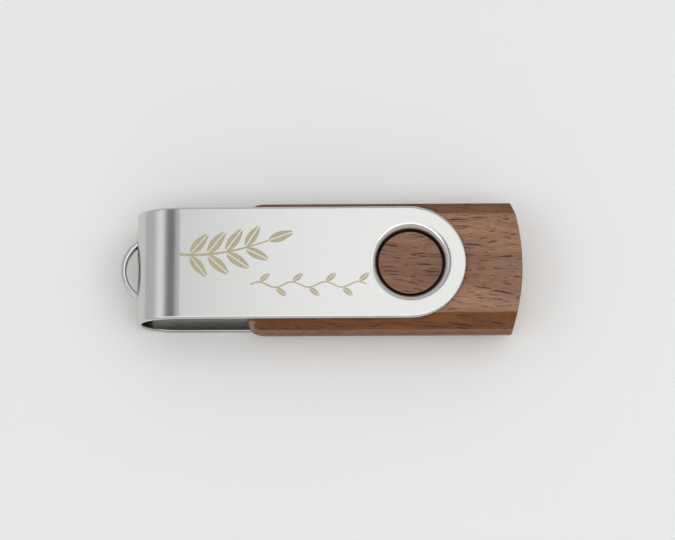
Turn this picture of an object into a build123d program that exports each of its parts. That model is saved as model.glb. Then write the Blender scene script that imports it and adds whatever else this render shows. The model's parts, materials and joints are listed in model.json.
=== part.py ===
"""Swivel USB flash drive: a walnut body with a USB-A plug, in a bent sheet-metal clip that turns round it.

Millimetres, +Z up. The finished part stands on z = 0 with its bounding box centred on the origin.
Every piece is first drawn in drive coordinates, whose origin is the pivot axis at the body's
mid-plane, with the plug pointing to -X. main() then moves all the pieces to the row frame together.
"""

import math
import os

from build123d import *

# Walnut body, two glued shells
body_width = 19.0
body_thickness = 8.5
body_front_reach = 23.9  # pivot axis to the plug end
body_rear_reach = 16.3  # pivot axis to the middle of the bowed rear end
side_chamfer = 2.25  # 45 degrees along the four long edges
rear_end_radius = 32.0
front_corner_radius = 2.6
body_edge_radius = 0.3  # every edge is sanded soft
seam_chamfer = 0.06  # makes the glue line between the shells a fine groove

# Pivot: the clip's drawn lips run in ring grooves round a wooden boss
boss_edge_radius = 0.15
boss_gap = 0.3  # radial, boss to the inside of the lip
lip_inner_radius = 4.95
lip_wall = 0.6
lip_roll_radius = 1.05  # outer face of the arm rolling into the hole
lip_root_radius = 0.25  # inner face of the arm to the lip
lip_tip_radius = 0.15
lip_engagement = 0.85  # how deep the lip reaches below the wood's face
lip_running_clearance = 0.08  # radial, lip to the groove's outer wall
groove_floor_clearance = 0.3
groove_edge_chamfer = 0.4

# Swivel clip, one bent sheet
sheet_thickness = 0.8
clip_width = 16.6
arm_end_setback = 0.2  # centre of an arm's round end, from the pivot axis towards the bend
arm_gap = 0.1  # arm to the wood's face, each side
shoulder_radius = 9.0  # outside, where each arm begins to turn into the bend
shoulder_angle = 25.0  # degrees turned at the shoulder radius
plug_swing_clearance = 0.8  # the plug's corners to the inside of the bend as the clip turns past
clip_edge_radius = 0.35  # the sheet's edges are tumbled round

# Keyring eyelet, a strap lanced out of the bend
eyelet_projection = 2.4
eyelet_span = 8.8
strap_height = 1.7
strap_thickness = 0.8
strap_edge_radius = 0.3
strap_flare_radius = 0.9

# USB-A plug
plug_width = 12.0
plug_height = 4.5
plug_exposed = 13.3  # wood's front face to the plug's tip
plug_seat = 5.2  # length held inside the body
plug_wall = 0.3
plug_corner_radius = 0.6
plug_mouth_radius = 0.1
plug_seam_width = 0.08
window_length = 2.5
window_width = 2.0
window_spacing = 6.0  # between the centres of the two windows on a face
window_setback = 5.2  # plug's tip to the near edge of a window
tongue_setback = 0.7
tongue_tip_chamfer = 0.3
insulator_block_length = 5.4
insulator_clearance = 0.02
contact_width = 1.0
contact_thickness = 0.25
contact_rise = 0.05  # contact face above the tongue's face
data_contact_offset = 1.0  # from the centre line
power_contact_offset = 3.5
data_contact_setback = 2.6  # plug's tip to the contact's front end
power_contact_setback = 1.6
contact_tail = 1.6  # length soldered to the board
shield_tab_length = 1.9
shield_tab_height = 1.9
shield_tab_drop = 0.3  # how far a tab stands out below the board

# Plug collar, closes the wood's front opening round the plug
collar_flange = 0.95  # material round the plug
collar_depth = 1.9
collar_recess = 0.25  # behind the wood's front face
collar_clearance = 0.04

# Cavity in the wood, board cradle and its lid
wood_rear_wall = 3.8  # behind the cavity, at the middle of the bowed end
cavity_corner_radius = 0.8
plug_headroom = 0.2  # plug to the cavity's floor and ceiling
fit_clearance = 0.1  # loose inner pieces to whatever holds them
cradle_side = 1.4  # beside the plug
cradle_wall = 0.6  # beside the board
cradle_ledge = 0.55
lid_thickness = 0.5

# Circuit board
board_thickness = 0.8
board_drop = 0.3  # board's top face below the mid-plane
board_corner_radius = 0.6
pad_thickness = 0.05
test_pad_radius = 0.45
test_pad_pitch = 1.6
test_pad_count = 5

# Chips: body length along X, width along Y, height, stand-off, lead pitch, lead count for each row
lead_width = 0.2
lead_thickness = 0.13
flash_length = 18.4
flash_width = 12.0
flash_height = 1.0
flash_lead_reach = 0.8
flash_rear_margin = 0.9  # the rear leads' feet to the board's rear edge
controller_side = 7.0
controller_height = 0.95
controller_lead_reach = 0.9
controller_centre_x = -6.0
chip_standoff = 0.1
lead_pitch = 0.5
flash_leads_per_row = 24
controller_leads_per_row = 12
lead_knee = 0.4  # share of a lead's reach that is straight before it turns down
lead_foot = 0.55  # share of a lead's reach before its flat foot begins
chip_edge_chamfer = 0.12
pin_mark_radius = 0.4
pin_mark_depth = 0.08

# Crystal and the small chip parts
crystal_length = 5.0
crystal_width = 3.2
crystal_base_height = 0.6
crystal_lid_height = 0.4
crystal_lid_inset = 0.25
crystal_gap = 1.6  # the contacts' tails to the crystal
passive_length = 1.6
passive_width = 0.8
capacitor_height = 0.8
resistor_height = 0.45
termination_length = 0.3
solder_leg = 0.45

# Worked-out sizes, and places in drive coordinates
half_thickness = body_thickness / 2
boss_radius = lip_inner_radius - boss_gap
cavity_width = plug_width + 2 * (fit_clearance + cradle_side + fit_clearance)
cavity_height = plug_height + 2 * plug_headroom
cavity_rear = body_rear_reach - wood_rear_wall
plug_tip_x = -(body_front_reach + plug_exposed)
plug_rear_x = -(body_front_reach - plug_seat)
clip_half_height = half_thickness + arm_gap + sheet_thickness
shoulder_turn = math.radians(shoulder_angle)
shoulder_drop = shoulder_radius * (1 - math.cos(shoulder_turn))
bend_radius = (clip_half_height - shoulder_drop) / math.cos(shoulder_turn)  # outside, between the shoulders
plug_corner_reach = math.hypot(plug_tip_x, plug_width / 2)
bend_depth_at_plug = math.sqrt((bend_radius - sheet_thickness) ** 2 - (plug_height / 2) ** 2)
bend_centre_x = -(plug_corner_reach + plug_swing_clearance - bend_depth_at_plug)
bend_start_x = bend_centre_x + (shoulder_radius - bend_radius) * math.sin(shoulder_turn)
clip_reach = bend_radius - bend_centre_x
overall_length = clip_reach + eyelet_projection + body_rear_reach
pivot_x = overall_length / 2 - body_rear_reach
board_front_x = plug_rear_x + fit_clearance
board_rear_x = cavity_rear - fit_clearance - cradle_wall - fit_clearance
board_width = cavity_width - 2 * (fit_clearance + cradle_wall + fit_clearance)
board_top_z = -board_drop
board_bottom_z = board_top_z - board_thickness
cradle_half_height = cavity_height / 2  # clamped between the two shells
collar_front_x = -(body_front_reach - collar_recess)
collar_rear_x = collar_front_x + collar_depth
flash_centre_x = board_rear_x - flash_rear_margin - flash_lead_reach - flash_length / 2
crystal_centre_x = board_front_x + contact_tail + crystal_gap + crystal_length / 2


def block(x_low, x_high, y_low, y_high, z_low, z_high):
    """A box given by its two faces along each axis."""
    size = Box(x_high - x_low, y_high - y_low, z_high - z_low)
    return Pos((x_low + x_high) / 2, (y_low + y_high) / 2, (z_low + z_high) / 2) * size


def centred_block(x_low, x_high, width, z_low, z_high):
    """A box that is centred on the part's centre line."""
    return block(x_low, x_high, -width / 2, width / 2, z_low, z_high)


def disc(radius, z_low, z_high, x=0.0, y=0.0):
    """A vertical cylinder between two heights."""
    return Pos(x, y, (z_low + z_high) / 2) * Cylinder(radius, z_high - z_low)


def both_faces(upper):
    """The piece and its mirror image below the mid-plane."""
    return upper + mirror(upper, Plane.XY)


# ---------------------------------------------------------------- walnut body


def body_blank():
    """The whole outside of the walnut body, before it is sawn into two shells and hollowed."""
    length = body_front_reach + body_rear_reach
    section = chamfer(Rectangle(body_width, body_thickness).vertices(), side_chamfer)
    bar = Pos(-body_front_reach, 0, 0) * extrude(Plane.YZ * section, length)
    front = Pos(-body_front_reach + length / 2, 0) * Rectangle(length, body_width)
    front = fillet(front.vertices().group_by(Axis.X)[0], front_corner_radius)
    outline = front & Pos(body_rear_reach - rear_end_radius, 0) * Circle(rear_end_radius)
    blank = bar & extrude(outline, half_thickness, both=True)
    smooth = blank.edges().filter_by(Axis.Z).filter_by(lambda edge: edge.center().X < 0)
    sharp = [edge for edge in blank.edges() if edge not in smooth]
    return fillet(sharp, body_edge_radius)


def ring_groove():
    """The groove in the upper face that the clip's lip runs in, with a boss left standing inside it."""
    floor_z = half_thickness - lip_engagement - groove_floor_clearance
    outer = lip_inner_radius + lip_wall + lip_running_clearance
    top_z = half_thickness + groove_edge_chamfer
    with BuildSketch(Plane.XZ) as section:
        with BuildLine():
            Polyline(
                (boss_radius, floor_z),
                (outer, floor_z),
                (outer, half_thickness - groove_edge_chamfer),
                (outer + 2 * groove_edge_chamfer, top_z),
                (boss_radius - boss_edge_radius, top_z),
                (boss_radius - boss_edge_radius, half_thickness),
            )
            RadiusArc(
                (boss_radius - boss_edge_radius, half_thickness),
                (boss_radius, half_thickness - boss_edge_radius),
                boss_edge_radius,
            )
            Line((boss_radius, half_thickness - boss_edge_radius), (boss_radius, floor_z))
        make_face()
    return revolve(section.sketch, Axis.Z)


def body_cavity():
    """The hollow for the board cradle, the plug's seat and the pocket for the collar."""
    hollow = centred_block(
        collar_rear_x, cavity_rear, cavity_width, -cavity_height / 2, cavity_height / 2
    )
    corners = hollow.edges().filter_by(Axis.Z).group_by(Axis.X)[-1]
    hollow = fillet(corners, cavity_corner_radius)
    pocket_width = plug_width + 2 * (collar_flange + collar_clearance)
    pocket_height = plug_height + 2 * (collar_flange + collar_clearance)
    pocket = centred_block(
        -body_front_reach - 1, collar_rear_x, pocket_width, -pocket_height / 2, pocket_height / 2
    )
    return hollow + pocket


def walnut_shell(side):
    """One shell of the body: side is 1 for the upper one and -1 for the lower one."""
    blank = body_blank() - body_cavity() - ring_groove() - mirror(ring_groove(), Plane.XY)
    reach = 2 * (body_front_reach + body_rear_reach)
    half_space = Pos(0, 0, side * body_thickness) * Box(reach, 2 * body_width, 2 * body_thickness)
    shell = blank & half_space
    rim = shell.faces().filter_by(Plane.XY).sort_by(Axis.Z)[0 if side > 0 else -1]
    outside = rim.outer_wire().edges().filter_by(
        lambda edge: abs(abs(edge.center().Y) - body_width / 2) < 0.01
    )
    return chamfer(outside, seam_chamfer)


# ---------------------------------------------------------------- swivel clip


def clip_outline(inset):
    """The clip seen from the side, inset from its outer face: two arms and a bend that tightens at its middle."""
    height = clip_half_height - inset
    shoulder = shoulder_radius - inset
    with BuildSketch() as outline:
        with BuildLine():
            CenterArc((bend_start_x, height - shoulder), shoulder, 90, shoulder_angle)
            CenterArc((bend_centre_x, 0), bend_radius - inset, 90 + shoulder_angle, 180 - 2 * shoulder_angle)
            CenterArc((bend_start_x, shoulder - height), shoulder, 270 - shoulder_angle, shoulder_angle)
            Polyline(
                (bend_start_x, -height),
                (clip_width / 2, -height),
                (clip_width / 2, height),
                (bend_start_x, height),
            )
        make_face()
    return outline.sketch


def clip_sheet():
    """The bent sheet: two arms with round ends, joined by the bend."""
    profile = clip_outline(0) - clip_outline(sheet_thickness)
    band = extrude(Plane.XZ * profile, clip_width / 2, both=True)
    arm_length = clip_reach - arm_end_setback
    plan = Pos(-arm_end_setback - arm_length / 2, 0) * Rectangle(arm_length, clip_width)
    plan += Pos(-arm_end_setback, 0) * Circle(clip_width / 2)
    sheet = band & extrude(plan, clip_half_height, both=True)
    rims = sheet.edges().filter_by(
        lambda edge: abs(edge.center().Y) > clip_width / 2 - 0.01 or edge.center().X > 0.1
    )
    rims = rims.filter_by(Axis.Z, reverse=True).filter_by(Axis.Y, reverse=True)
    return fillet(rims, clip_edge_radius)


def pivot_lip():
    """The drawn lip round the upper arm's pivot hole, with the arm's material out to its roll-in."""
    outer_z = clip_half_height
    inner_z = clip_half_height - sheet_thickness
    tip_z = half_thickness - lip_engagement
    r_in = lip_inner_radius
    r_out = lip_inner_radius + lip_wall
    flat_r = max(r_in + lip_roll_radius, r_out + lip_root_radius) + sheet_thickness / 2
    with BuildSketch(Plane.XZ) as section:
        with BuildLine():
            Line((flat_r, outer_z), (r_in + lip_roll_radius, outer_z))
            RadiusArc((r_in + lip_roll_radius, outer_z), (r_in, outer_z - lip_roll_radius), -lip_roll_radius)
            Polyline((r_in, outer_z - lip_roll_radius), (r_in, tip_z + lip_tip_radius))
            RadiusArc((r_in, tip_z + lip_tip_radius), (r_in + lip_tip_radius, tip_z), -lip_tip_radius)
            Line((r_in + lip_tip_radius, tip_z), (r_out - lip_tip_radius, tip_z))
            RadiusArc((r_out - lip_tip_radius, tip_z), (r_out, tip_z + lip_tip_radius), -lip_tip_radius)
            Line((r_out, tip_z + lip_tip_radius), (r_out, inner_z - lip_root_radius))
            RadiusArc((r_out, inner_z - lip_root_radius), (r_out + lip_root_radius, inner_z), lip_root_radius)
            Polyline((r_out + lip_root_radius, inner_z), (flat_r, inner_z), (flat_r, outer_z))
        make_face()
    return revolve(section.sketch, Axis.Z)


def eyelet_arc_radius():
    """Outer radius of the strap that spans eyelet_span and stands out by eyelet_projection."""
    half_span = eyelet_span / 2
    return (half_span**2 + eyelet_projection**2) / (2 * eyelet_projection)


def eyelet_strap():
    """The lanced strap, flared where it leaves the bend."""
    radius = eyelet_arc_radius()
    centre_x = -(clip_reach + eyelet_projection) + radius
    wall_x = -(clip_reach - sheet_thickness / 2)
    skin_x = bend_centre_x - math.sqrt(bend_radius**2 - (strap_height / 4) ** 2)
    foot_half = eyelet_span / 2 + 2 * strap_flare_radius
    foot = Pos((wall_x + skin_x) / 2, 0) * Rectangle(wall_x - skin_x, 2 * foot_half)
    keep = Pos(wall_x - radius, 0) * Rectangle(2 * radius, 2 * radius)
    outline = foot + (Pos(centre_x, 0) * Circle(radius) & keep)
    roots = outline.vertices().filter_by(
        lambda v: abs(v.X - skin_x) < 0.01 and abs(v.Y) < foot_half - 0.01
    )
    outline = fillet(roots, strap_flare_radius)
    outline -= Pos(centre_x, 0) * Circle(radius - strap_thickness)
    strap = extrude(outline, strap_height / 2, both=True)
    flats = strap.faces().filter_by(Plane.XY)
    rims = [edge for face in flats for edge in face.edges() if edge.center().X < skin_x - 0.01]
    return fillet(rims, strap_edge_radius)


def eyelet_slot():
    """The hole that the strap leaves in the bend."""
    radius = eyelet_arc_radius() - strap_thickness
    centre_x = -(clip_reach + eyelet_projection) + eyelet_arc_radius()
    slot = disc(radius, -strap_height / 2, strap_height / 2, centre_x)
    reach = clip_reach + eyelet_projection
    return slot & centred_block(-reach, bend_centre_x, clip_width, -strap_height, strap_height)


def swivel_clip():
    """The finished clip: bent sheet, both pivot lips and the keyring eyelet."""
    lip = pivot_lip()
    lip_face_radius = lip.bounding_box().max.X
    hole = disc(lip_face_radius, -2 * clip_half_height, 2 * clip_half_height)
    clip = clip_sheet() - hole + both_faces(lip)
    return clip + eyelet_strap() - eyelet_slot()


# ---------------------------------------------------------------- plug


def plug_tube(grow, x_low, x_high):
    """A bar with the plug's rounded section, grown outwards by grow on every side."""
    section = RectangleRounded(
        plug_width + 2 * grow, plug_height + 2 * grow, max(plug_corner_radius + grow, 0.05)
    )
    return Pos(x_low, 0, 0) * extrude(Plane.YZ * section, x_high - x_low)


def plug_shell():
    """The rolled steel shell, with latch windows in both faces, a seam below and two solder tabs."""
    outside = plug_tube(0, plug_tip_x, plug_rear_x)
    mouth = outside.edges().group_by(Axis.X)[0]
    shell = fillet(mouth, plug_mouth_radius) - plug_tube(-plug_wall, plug_tip_x - 1, plug_rear_x + 1)
    window_x = plug_tip_x + window_setback
    for y in (-window_spacing / 2, window_spacing / 2):
        shell -= block(
            window_x,
            window_x + window_length,
            y - window_width / 2,
            y + window_width / 2,
            -plug_height,
            plug_height,
        )
    shell -= centred_block(plug_tip_x - 1, plug_rear_x + 1, plug_seam_width, -plug_height, -plug_height / 4)
    for side in (-1, 1):
        outer_y = side * plug_width / 2
        inner_y = side * (plug_width / 2 - plug_wall)
        shell += block(
            plug_rear_x - plug_wall,
            plug_rear_x + shield_tab_length,
            min(outer_y, inner_y),
            max(outer_y, inner_y),
            board_bottom_z - shield_tab_drop,
            board_bottom_z - shield_tab_drop + shield_tab_height,
        )
    return shell


def contact_spans():
    """Centre and front end of each contact strip, by node name."""
    power_x = plug_tip_x + power_contact_setback
    data_x = plug_tip_x + data_contact_setback
    return {
        "contact_power": (power_contact_offset, power_x),
        "contact_data_minus": (data_contact_offset, data_x),
        "contact_data_plus": (-data_contact_offset, data_x),
        "contact_ground": (-power_contact_offset, power_x),
    }


def contact_top_z():
    """Height of the contacts' faces, which sets the strips straight on the board's pads."""
    return board_top_z + pad_thickness + contact_thickness


def contact_strip(y, front_x):
    """One flat contact from the tongue to its pad on the board."""
    top_z = contact_top_z()
    strip = block(
        front_x,
        board_front_x + contact_tail,
        y - contact_width / 2,
        y + contact_width / 2,
        top_z - contact_thickness,
        top_z,
    )
    nose = strip.edges().filter_by(Axis.Y).group_by(Axis.X)[0].sort_by(Axis.Z)[-1]
    return chamfer(nose, contact_thickness / 2)


def plug_insulator():
    """The tongue that carries the contacts and the block that fills the shell behind it."""
    inside = -(plug_wall + insulator_clearance)
    block_front_x = plug_rear_x - insulator_block_length
    tongue_top_z = contact_top_z() - contact_rise
    body = plug_tube(inside, block_front_x, plug_rear_x)
    tongue = plug_tube(inside, plug_tip_x + tongue_setback, block_front_x)
    tongue &= centred_block(plug_tip_x, plug_rear_x, plug_width, -plug_height, tongue_top_z)
    tip = tongue.faces().sort_by(Axis.X)[0].edges().sort_by(Axis.Z)[-1]
    tongue = chamfer(tip, tongue_tip_chamfer)
    insulator = body + tongue
    for y, front_x in contact_spans().values():
        insulator -= contact_strip(y, front_x)
    return insulator


def plug_collar():
    """The plastic ring that closes the wood's opening round the plug."""
    collar = plug_tube(collar_flange, collar_front_x, collar_rear_x)
    collar = fillet(collar.edges().group_by(Axis.X)[0], plug_mouth_radius)
    return collar - plug_tube(collar_clearance, collar_front_x - 1, collar_rear_x + 1)


# ---------------------------------------------------------------- board and its holders


def board_cradle():
    """The open frame that hugs the plug's rear end and carries the board's edges on ledges."""
    outer_width = cavity_width - 2 * fit_clearance
    front_x = collar_rear_x + fit_clearance
    rear_x = cavity_rear - fit_clearance
    top_z = cradle_half_height - lid_thickness
    frame = centred_block(front_x, rear_x, outer_width, -cradle_half_height, top_z)
    corners = frame.edges().filter_by(Axis.Z).group_by(Axis.X)[-1]
    frame = fillet(corners, cavity_corner_radius)
    frame -= centred_block(
        front_x - 1, board_front_x, plug_width + 2 * fit_clearance, -plug_height, plug_height
    )
    room_width = board_width + 2 * fit_clearance
    ledge_width = board_width - 2 * cradle_ledge
    room_rear = board_rear_x + fit_clearance
    frame -= centred_block(board_front_x - 0.01, room_rear, room_width, board_bottom_z, plug_height)
    frame -= centred_block(
        board_front_x - 0.01, board_rear_x - cradle_ledge, ledge_width, -plug_height, plug_height
    )
    return frame


def cradle_lid():
    """The flat lid on the cradle, with two rails that hold the board down on its ledges."""
    outer_width = cavity_width - 2 * fit_clearance
    rear_x = cavity_rear - fit_clearance
    under_z = cradle_half_height - lid_thickness
    lid = centred_block(board_front_x, rear_x, outer_width, under_z, cradle_half_height)
    corners = lid.edges().filter_by(Axis.Z).group_by(Axis.X)[-1]
    lid = fillet(corners, cavity_corner_radius)
    rail_low = board_top_z + fit_clearance / 2
    for side in (-1, 1):
        outer_y = side * board_width / 2
        inner_y = side * (board_width / 2 - cradle_ledge)
        lid += block(
            board_front_x + shield_tab_length + fit_clearance,
            board_rear_x,
            min(outer_y, inner_y),
            max(outer_y, inner_y),
            rail_low,
            under_z,
        )
    return lid


def circuit_board():
    """The laminate, with a slot at each front corner for the plug's solder tabs."""
    board = centred_block(board_front_x, board_rear_x, board_width, board_bottom_z, board_top_z)
    board = fillet(board.edges().filter_by(Axis.Z), board_corner_radius)
    slot_depth = shield_tab_length + fit_clearance
    for side in (-1, 1):
        outer_y = side * (plug_width / 2 + fit_clearance)
        inner_y = side * (plug_width / 2 - plug_wall - fit_clearance)
        board -= block(
            board_front_x - 1,
            board_front_x + slot_depth,
            min(outer_y, inner_y),
            max(outer_y, inner_y),
            board_bottom_z - 1,
            board_top_z + 1,
        )
    return board


def board_pads():
    """Copper pads: one under each contact's tail, and a row of round test pads on the underside."""
    top_z = board_top_z + pad_thickness
    pads = [
        block(
            board_front_x + fit_clearance,
            board_front_x + contact_tail,
            y - contact_width / 2,
            y + contact_width / 2,
            board_top_z,
            top_z,
        )
        for y, _ in contact_spans().values()
    ]
    first_x = controller_centre_x + controller_side / 2 + controller_lead_reach + 2 * test_pad_pitch
    under_z = board_bottom_z - pad_thickness
    for i in range(test_pad_count):
        pads.append(disc(test_pad_radius, under_z, board_bottom_z, first_x + i * test_pad_pitch))
    return pads


# ---------------------------------------------------------------- chips


def gull_wing(reach, shoulder_z):
    """One bent lead on the X axis, from the chip's side at x = 0 down to the board at z = 0."""
    knee = reach * lead_knee
    foot = reach * lead_foot
    t = lead_thickness
    profile = Polyline(
        (0, shoulder_z),
        (knee, shoulder_z),
        (foot, t),
        (reach, t),
        (reach, 0),
        (foot - t, 0),
        (knee - t, shoulder_z - t),
        (0, shoulder_z - t),
        close=True,
    )
    return extrude(Plane.XZ * make_face(profile), lead_width / 2, both=True)


def lead_row(count, reach, shoulder_z):
    """A row of leads along Y, pointing to +X, centred on the origin."""
    lead = gull_wing(reach, shoulder_z)
    first_y = -(count - 1) * lead_pitch / 2
    return [Pos(0, first_y + i * lead_pitch, 0) * lead for i in range(count)]


def chip_body(length, width, height):
    """A moulded chip body on z = chip_standoff, with bevelled edges and a pin-one mark."""
    body = Pos(0, 0, chip_standoff + height / 2) * Box(length, width, height)
    top = body.faces().sort_by(Axis.Z)[-1]
    body = chamfer(top.edges(), chip_edge_chamfer)
    mark_x = -length / 2 + 2.5 * pin_mark_radius
    mark_y = -width / 2 + 2.5 * pin_mark_radius
    top_z = chip_standoff + height
    return body - disc(pin_mark_radius, top_z - pin_mark_depth, top_z + 1, mark_x, mark_y)


def on_top(x):
    """Places a piece on the board's upper face."""
    return Pos(x, 0, board_top_z)


def underneath(x):
    """Places a piece on the board's lower face, upside down."""
    return Pos(x, 0, board_bottom_z) * Rot(180, 0, 0)


def flash_chip():
    return on_top(flash_centre_x) * chip_body(flash_length, flash_width, flash_height)


def flash_chip_leads():
    shoulder_z = chip_standoff + flash_height / 2
    row = lead_row(flash_leads_per_row, flash_lead_reach, shoulder_z)
    place = on_top(flash_centre_x)
    front = [place * Pos(-flash_length / 2, 0, 0) * Rot(0, 0, 180) * lead for lead in row]
    rear = [place * Pos(flash_length / 2, 0, 0) * lead for lead in row]
    return front + rear


def controller_chip():
    return underneath(controller_centre_x) * chip_body(controller_side, controller_side, controller_height)


def controller_leads():
    shoulder_z = chip_standoff + controller_height / 2
    row = lead_row(controller_leads_per_row, controller_lead_reach, shoulder_z)
    place = underneath(controller_centre_x)
    leads = []
    for turn in range(4):
        side = place * Rot(0, 0, 90 * turn) * Pos(controller_side / 2, 0, 0)
        leads += [side * lead for lead in row]
    return leads


def crystal_base():
    return on_top(crystal_centre_x) * centred_block(
        -crystal_length / 2, crystal_length / 2, crystal_width, 0, crystal_base_height
    )


def crystal_lid():
    low = crystal_base_height
    lid = centred_block(
        -crystal_length / 2 + crystal_lid_inset,
        crystal_length / 2 - crystal_lid_inset,
        crystal_width - 2 * crystal_lid_inset,
        low,
        low + crystal_lid_height,
    )
    return on_top(crystal_centre_x) * fillet(lid.edges().filter_by(Axis.Z), crystal_lid_inset)


def capacitor_places():
    """Decoupling capacitors: two beside the crystal above the board, four beside the controller below it."""
    beside_crystal = crystal_width / 2 + 2 * passive_width
    beside_chip = controller_side / 2 + controller_lead_reach + passive_length
    above = [on_top(crystal_centre_x) * Pos(0, y, 0) for y in (-beside_crystal, beside_crystal)]
    below = [
        underneath(controller_centre_x) * Pos(x, y, 0)
        for x in (-beside_chip, beside_chip)
        for y in (-2 * passive_width, 2 * passive_width)
    ]
    return above + below


def resistor_places():
    """Series resistors on the data lines, in front of the controller, and one bias resistor behind it."""
    ahead = controller_centre_x - controller_side / 2 - controller_lead_reach - 3 * passive_length
    behind = controller_centre_x + controller_side / 2 + controller_lead_reach + passive_length
    return [underneath(ahead) * Pos(0, y, 0) for y in (-data_contact_offset, data_contact_offset)] + [
        underneath(behind)
    ]


def passive_core(height):
    """The ceramic middle of a small chip part that lies along X."""
    core = passive_length - 2 * termination_length
    return centred_block(-core / 2, core / 2, passive_width, 0, height)


def passive_ends(height):
    """The two tinned ends of the same part."""
    half = passive_length / 2
    low = centred_block(-half, -half + termination_length, passive_width, 0, height)
    high = centred_block(half - termination_length, half, passive_width, 0, height)
    return [low, high]


def plug_solder():
    """Solder fillets beside the plug's two tabs, on the board's upper face."""
    inner = plug_width / 2 - plug_wall
    wedge = Polyline(
        (inner, board_top_z),
        (inner - solder_leg - fit_clearance, board_top_z),
        (inner, board_top_z + solder_leg),
        close=True,
    )
    fillet_solder = Pos(board_front_x + fit_clearance, 0, 0) * extrude(
        Plane.YZ * make_face(wedge), shield_tab_length - 3 * fit_clearance
    )
    return [fillet_solder, mirror(fillet_solder, Plane.XZ)]


def every_piece():
    """All sub-parts in drive coordinates, by node name. A list is a group of separate solids."""
    pieces = {
        "swivel_clip": swivel_clip(),
        "walnut_upper_shell": walnut_shell(1),
        "walnut_lower_shell": walnut_shell(-1),
        "plug_collar": plug_collar(),
        "plug_shell": plug_shell(),
        "plug_insulator": plug_insulator(),
        "plug_solder": plug_solder(),
        "board_cradle": board_cradle(),
        "cradle_lid": cradle_lid(),
        "circuit_board": circuit_board(),
        "board_pads": board_pads(),
        "flash_chip": flash_chip(),
        "flash_chip_leads": flash_chip_leads(),
        "controller_chip": controller_chip(),
        "controller_leads": controller_leads(),
        "crystal_base": crystal_base(),
        "crystal_lid": crystal_lid(),
        "capacitor_bodies": [place * passive_core(capacitor_height) for place in capacitor_places()],
        "capacitor_ends": [
            place * end for place in capacitor_places() for end in passive_ends(capacitor_height)
        ],
        "resistor_bodies": [place * passive_core(resistor_height) for place in resistor_places()],
        "resistor_ends": [
            place * end for place in resistor_places() for end in passive_ends(resistor_height)
        ],
    }
    for name, (y, front_x) in contact_spans().items():
        pieces[name] = contact_strip(y, front_x)
    return pieces


def main():
    os.makedirs("parts", exist_ok=True)
    to_row_frame = Pos(pivot_x, 0, clip_half_height)
    for name, piece in every_piece().items():
        solids = piece if isinstance(piece, list) else [piece]
        placed = [solid for item in solids for solid in (to_row_frame * item).solids()]
        shape = placed[0] if len(placed) == 1 else Compound(placed)
        export_step(shape, f"parts/{name}.step")


if __name__ == "__main__":
    main()
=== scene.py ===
"""Looks of a swivel flash drive: a walnut body in a satin steel clip, on a pale studio floor.

Everything is in metres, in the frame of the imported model. Textures work in millimetres.
"""

import json
import math

import bmesh
import bpy
from bpy.props import FloatProperty, FloatVectorProperty, IntProperty, PointerProperty
from mathutils import Matrix, Vector


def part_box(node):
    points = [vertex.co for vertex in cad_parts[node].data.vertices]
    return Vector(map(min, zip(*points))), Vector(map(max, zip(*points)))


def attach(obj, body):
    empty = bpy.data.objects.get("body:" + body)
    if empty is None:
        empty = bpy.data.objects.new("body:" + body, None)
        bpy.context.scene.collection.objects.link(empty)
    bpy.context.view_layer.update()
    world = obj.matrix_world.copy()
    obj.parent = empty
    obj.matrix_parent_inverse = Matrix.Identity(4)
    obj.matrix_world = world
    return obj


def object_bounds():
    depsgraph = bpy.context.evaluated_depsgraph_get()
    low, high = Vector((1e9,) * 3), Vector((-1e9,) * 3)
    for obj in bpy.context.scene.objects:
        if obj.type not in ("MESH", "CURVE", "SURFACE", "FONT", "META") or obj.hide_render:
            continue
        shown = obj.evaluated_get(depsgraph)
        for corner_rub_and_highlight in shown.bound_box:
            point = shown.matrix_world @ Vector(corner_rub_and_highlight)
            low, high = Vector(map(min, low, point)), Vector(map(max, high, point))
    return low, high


bl_info = {
    "name": "Walnut flash drive",
    "version": (1, 0, 0),
    "blender": (4, 5, 0),
    "location": "3D View > Sidebar > Flash Drive",
    "description": "Finishes, printed ornament and studio for a swivel flash drive",
    "category": "Object",
}

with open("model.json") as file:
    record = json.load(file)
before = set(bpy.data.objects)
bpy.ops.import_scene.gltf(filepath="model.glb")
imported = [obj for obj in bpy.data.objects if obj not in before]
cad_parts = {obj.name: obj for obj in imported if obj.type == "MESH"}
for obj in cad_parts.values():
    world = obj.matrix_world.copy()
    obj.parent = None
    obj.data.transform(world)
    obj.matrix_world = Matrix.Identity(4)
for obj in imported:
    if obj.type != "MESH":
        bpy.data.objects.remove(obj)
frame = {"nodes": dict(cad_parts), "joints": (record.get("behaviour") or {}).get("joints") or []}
cad_low, cad_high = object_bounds()

NODES = frame["nodes"]
PIVOT = Vector(frame["joints"][0]["pos_m"])
WOOD_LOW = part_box("walnut_lower_shell")[0]
WOOD_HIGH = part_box("walnut_upper_shell")[1]
CLIP_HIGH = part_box("swivel_clip")[1]
PLUG_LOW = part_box("plug_shell")[0]
MID_HEIGHT = (WOOD_LOW.z + WOOD_HIGH.z) / 2
PIVOT_CENTRE = Vector((PIVOT.x, PIVOT.y, MID_HEIGHT))
MM = 0.001

# Open pores, in millimetres: each lies in a cell as long and wide as this, and Cover is the share kept
LONG_PORES = {"Length": 6.4, "Spacing": 0.40, "Radius": 0.36, "Cover": 0.95}
SHORT_PORES = {"Length": 3.4, "Spacing": 0.26, "Radius": 0.36, "Cover": 0.90}
SHORT_PORE_OFFSET = (17.3, 5.1, 9.7)  # keeps the two sets of pores apart


# ---------------------------------------------------------------- settings


def length(name, description, default, smallest=0.0):
    """A size in metres that shows in the scene's own units."""
    return FloatProperty(
        name=name, description=description, default=default, min=smallest, unit="LENGTH", precision=5
    )


def colour(name, description, default):
    """A linear colour."""
    return FloatVectorProperty(
        name=name, description=description, default=default, size=3, min=0.0, max=1.0, subtype="COLOR"
    )


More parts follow.
